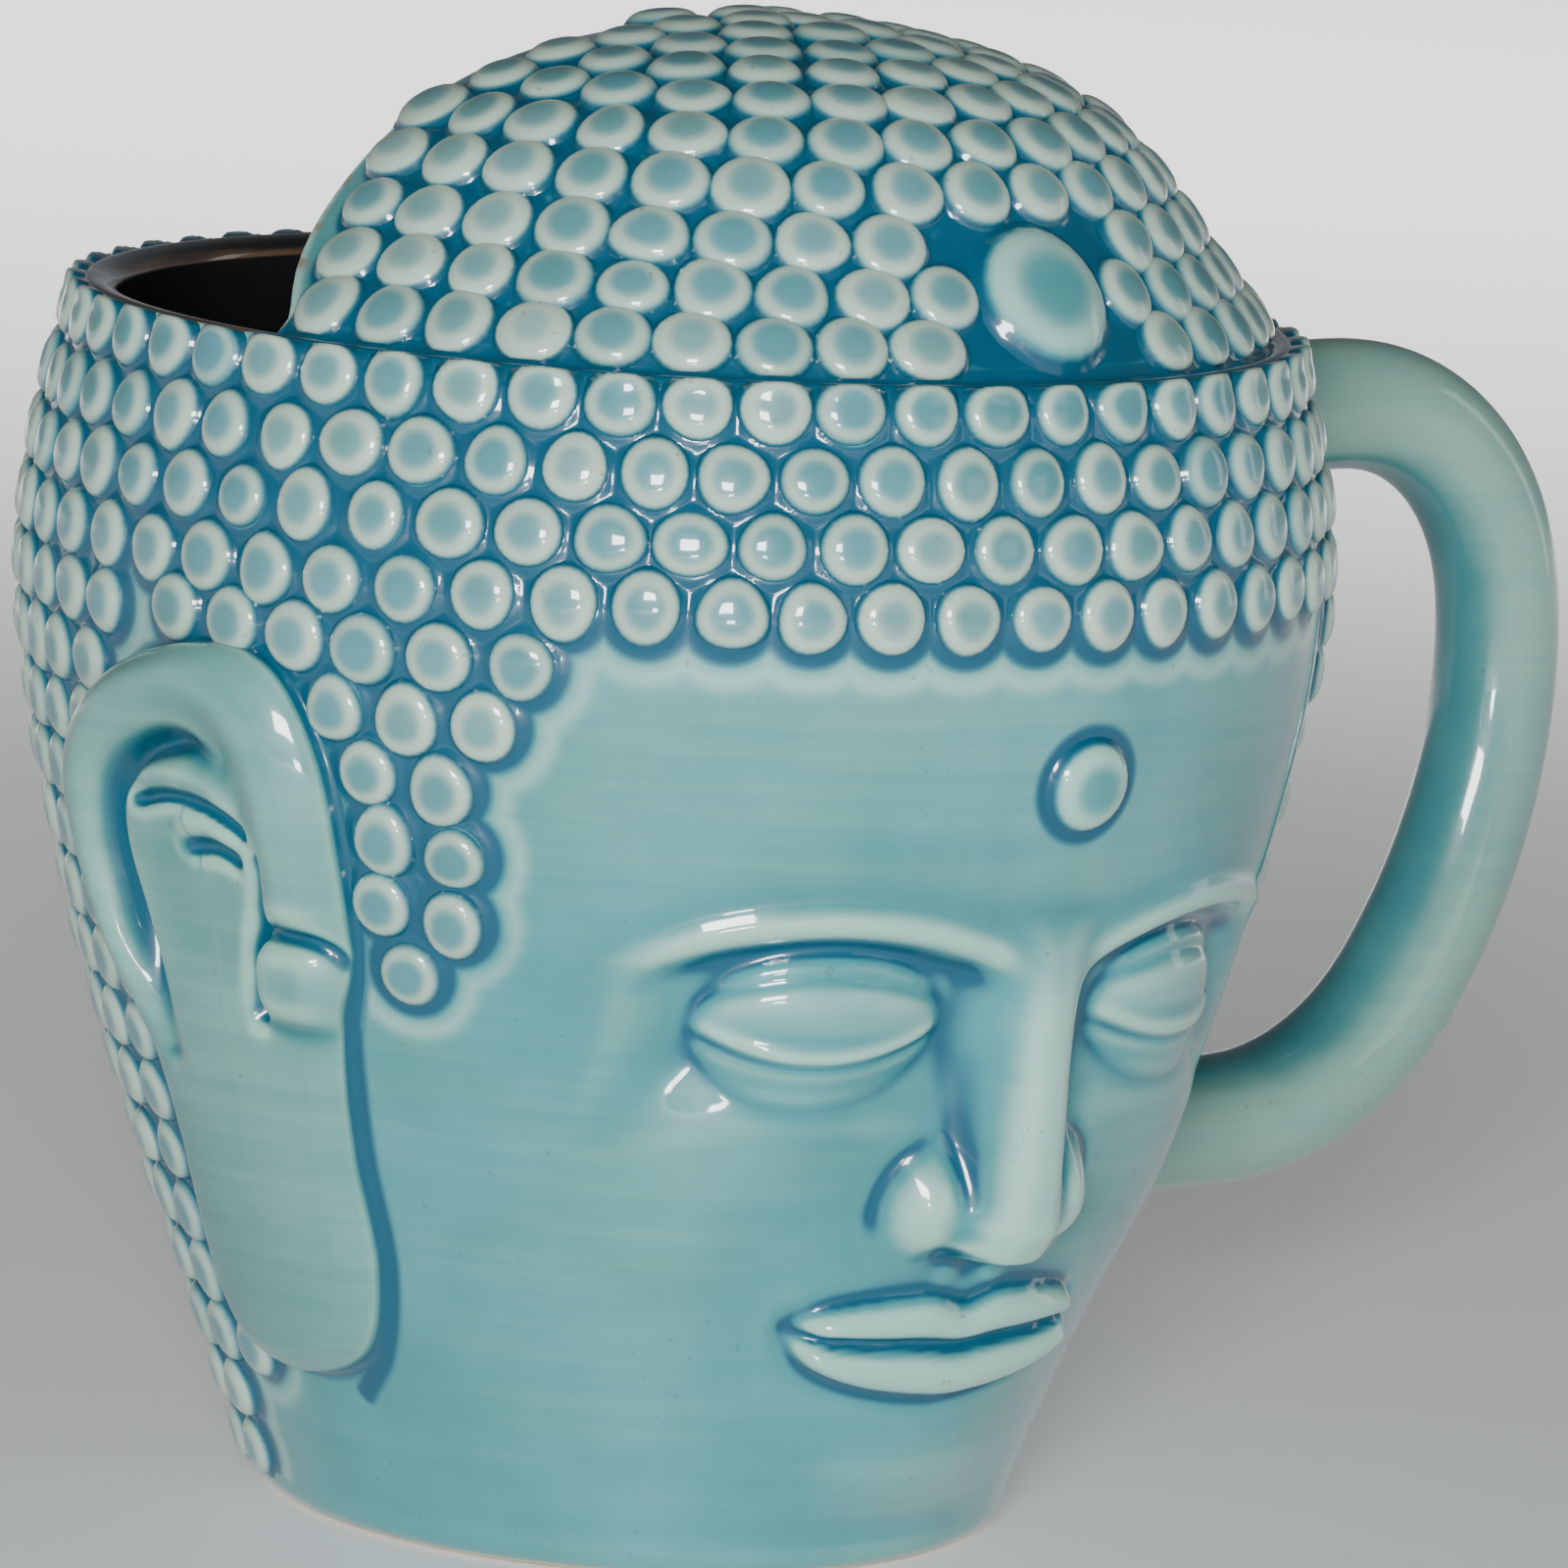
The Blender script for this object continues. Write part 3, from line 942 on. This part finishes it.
def build_handle():
    """Points of the handle, and how its glaze pools and thins."""
    s, x, z, grip = handle_line()
    dx, dz = np.gradient(x), np.gradient(z)
    length = np.hypot(dx, dz)
    nx, nz = -dz / length, dx / length
    clear = np.hypot(x, 0) - radius(z)
    flare = sum(more * np.exp(-np.maximum(clear, 0) / reach) for more, reach in FLARES)
    r = grip * (1 + flare) * (1 + 0.02 * np.sin(s / 17.0))
    a = np.linspace(0, 2 * math.pi, 72, endpoint=False)[:, None]
    p = np.stack([x + r * np.cos(a) * nx, r * np.sin(a) + 0 * x, z + r * np.cos(a) * nz], -1)
    inward = np.cos(a) + 0 * x if nx[len(nx) // 2] < 0 else -np.cos(a) + 0 * x
    inner_side = step(inward, 0.35, 1.0)
    root = np.exp(-np.maximum(clear, 0) / 2.2)[None] + 0 * a
    pool = np.clip(0.42 * inner_side + 0.75 * root, 0, 1)
    thin = np.clip(0.62 - 0.5 * inner_side - 0.4 * root, 0, 1)
    return p, pool, thin


HANDLE, HANDLE_POOL, HANDLE_THIN = build_handle()
ZERO = np.zeros(HANDLE_POOL.size)
place(make_mesh("glazed_handle", HANDLE.reshape(-1, 3), [grid_faces(HANDLE.shape[0], HANDLE.shape[1])], GRIP,
                pool=HANDLE_POOL, thin=HANDLE_THIN, inside=ZERO, bare=ZERO, rust=ZERO), "handle_glaze", "handle")


# ---- floor, light and camera -------------------------------------------------------------------------------
FLOOR_SIZE = 12.0
# the floor glows a little under the mug and more away from it: distances in metres and strengths
GLOW_FROM, GLOW_TO, GLOW_NEAR, GLOW_AWAY = 0.12, 0.9, 0.22, 0.60
# sky colour by the height of the direction, 0 at the horizon
SKY_TONES = ((0.0, (0.80, 0.84, 0.88)), (0.22, (0.30, 0.32, 0.34)), (1.0, (0.02, 0.022, 0.025)))
SKY_STRENGTH = 0.36
MUG_MIDDLE, FAR_FLOOR = (0, 0, 0.07), (1.6, 2.0, 0)
# azimuth, height, distance, size, watts, aim and spread. Azimuth 0 stands before the face, positive towards -X.
SOFTBOXES = dict(key=(42, 0.36, 1.35, (0.36, 0.26), 20, MUG_MIDDLE, 180),
                 fill=(-15, 0.45, 1.9, (0.8, 0.6), 2, MUG_MIDDLE, 180),
                 flash=(36, 0.02, 1.15, (0.13, 0.09), 2.6, MUG_MIDDLE, 180),
                 side=(120, 0.45, 1.6, (0.7, 0.9), 0.5, MUG_MIDDLE, 180),
                 edge=(-75, 0.35, 1.5, (0.25, 0.8), 1, MUG_MIDDLE, 180),
                 backdrop=(218, 1.4, 0.9, (2.4, 0.8), 45, FAR_FLOOR, 130))
VIEW_AZIMUTH, VIEW_DISTANCE, VIEW_HEIGHT, AIM_HEIGHT = math.radians(38), 1.0, 0.233, 0.077
VIEW_ROLL, AIM_RIGHT, AIM_DOWN = math.radians(3.0), 0.01167, 0.0052
FOCAL, SENSOR = 235.0, 36.0


def paper():
    """Pale studio floor."""
    n = Nodes("studio_floor")
    tone = n.mix(n.noise(3.0, 2.0), colour(236, 237, 237), colour(242, 243, 243))
    away = n.add("ShaderNodeVectorMath", {"operation": "LENGTH"})
    n.put(away.inputs[0], n.add("ShaderNodeTexCoord").outputs["Object"])
    glow = n.ramp(away.outputs["Value"], GLOW_FROM, GLOW_TO, GLOW_NEAR, GLOW_AWAY)
    surface = n.add("ShaderNodeBsdfPrincipled", Base_Color=tone, Roughness=0.8, Emission_Color=tone,
                    Emission_Strength=glow)
    n.tree.links.new(surface.outputs[0], n.add("ShaderNodeOutputMaterial").inputs[0])
    return n.material


def studio_sky():
    world = bpy.data.worlds.new("studio")
    world.use_nodes = True
    sky = world.node_tree
    where = sky.nodes.new("ShaderNodeTexCoord")
    split = sky.nodes.new("ShaderNodeSeparateXYZ")
    fade = sky.nodes.new("ShaderNodeValToRGB")
    sky.links.new(where.outputs["Generated"], split.inputs[0])
    sky.links.new(split.outputs["Z"], fade.inputs[0])
    sky.links.new(fade.outputs[0], sky.nodes["Background"].inputs["Color"])
    fade.color_ramp.elements.new(0.5)
    for stop, (place_at, tone) in zip(fade.color_ramp.elements, SKY_TONES):
        stop.position, stop.color = place_at, (*tone, 1)
    sky.nodes["Background"].inputs["Strength"].default_value = SKY_STRENGTH
    bpy.context.scene.world = world


def stand(azimuth, distance, height):
    return Vector((-math.sin(azimuth) * distance, -math.cos(azimuth) * distance, height))


def softbox(name, azimuth, height, distance, size, watts, aim, spread):
    data = bpy.data.lights.new(name, "AREA")
    data.shape, data.size, data.size_y, data.energy = "RECTANGLE", size[0], size[1], watts
    data.spread = math.radians(spread)
    obj = bpy.data.objects.new(name, data)
    bpy.context.scene.collection.objects.link(obj)
    obj.location = stand(math.radians(azimuth), distance, height)
    obj.rotation_euler = (Vector(aim) - obj.location).to_track_quat("-Z", "Y").to_euler()


def add_camera():
    """Camera above and to one side of the face, rolled a little and aimed a little off the mug's middle."""
    data = bpy.data.cameras.new("camera")
    data.lens, data.sensor_width = FOCAL, SENSOR
    data.clip_start, data.clip_end = 0.01, 50.0
    camera = bpy.data.objects.new("camera", data)
    bpy.context.scene.collection.objects.link(camera)
    camera.location = stand(VIEW_AZIMUTH, VIEW_DISTANCE, VIEW_HEIGHT)
    pitch = math.atan2(VIEW_HEIGHT - AIM_HEIGHT, VIEW_DISTANCE)
    ahead = Vector((math.sin(VIEW_AZIMUTH) * math.cos(pitch), math.cos(VIEW_AZIMUTH) * math.cos(pitch),
                    -math.sin(pitch)))
    right = Vector((math.cos(VIEW_AZIMUTH), -math.sin(VIEW_AZIMUTH), 0))
    up = right.cross(ahead)
    right, up = (right * math.cos(VIEW_ROLL) + up * math.sin(VIEW_ROLL),
                 up * math.cos(VIEW_ROLL) - right * math.sin(VIEW_ROLL))
    ahead = (ahead + right * AIM_RIGHT - up * AIM_DOWN).normalized()
    right = ahead.cross(up).normalized()
    camera.rotation_euler = Matrix((right, right.cross(ahead), -ahead)).transposed().to_euler()
    return camera


bpy.ops.mesh.primitive_plane_add(size=FLOOR_SIZE, location=(0, 0, START[0][2]))
floor = bpy.context.object
floor.name = "studio_floor"
floor.data.materials.append(paper())
studio_sky()
for name, settings in SOFTBOXES.items():
    softbox(name, *settings)
bpy.context.scene.camera = add_camera()
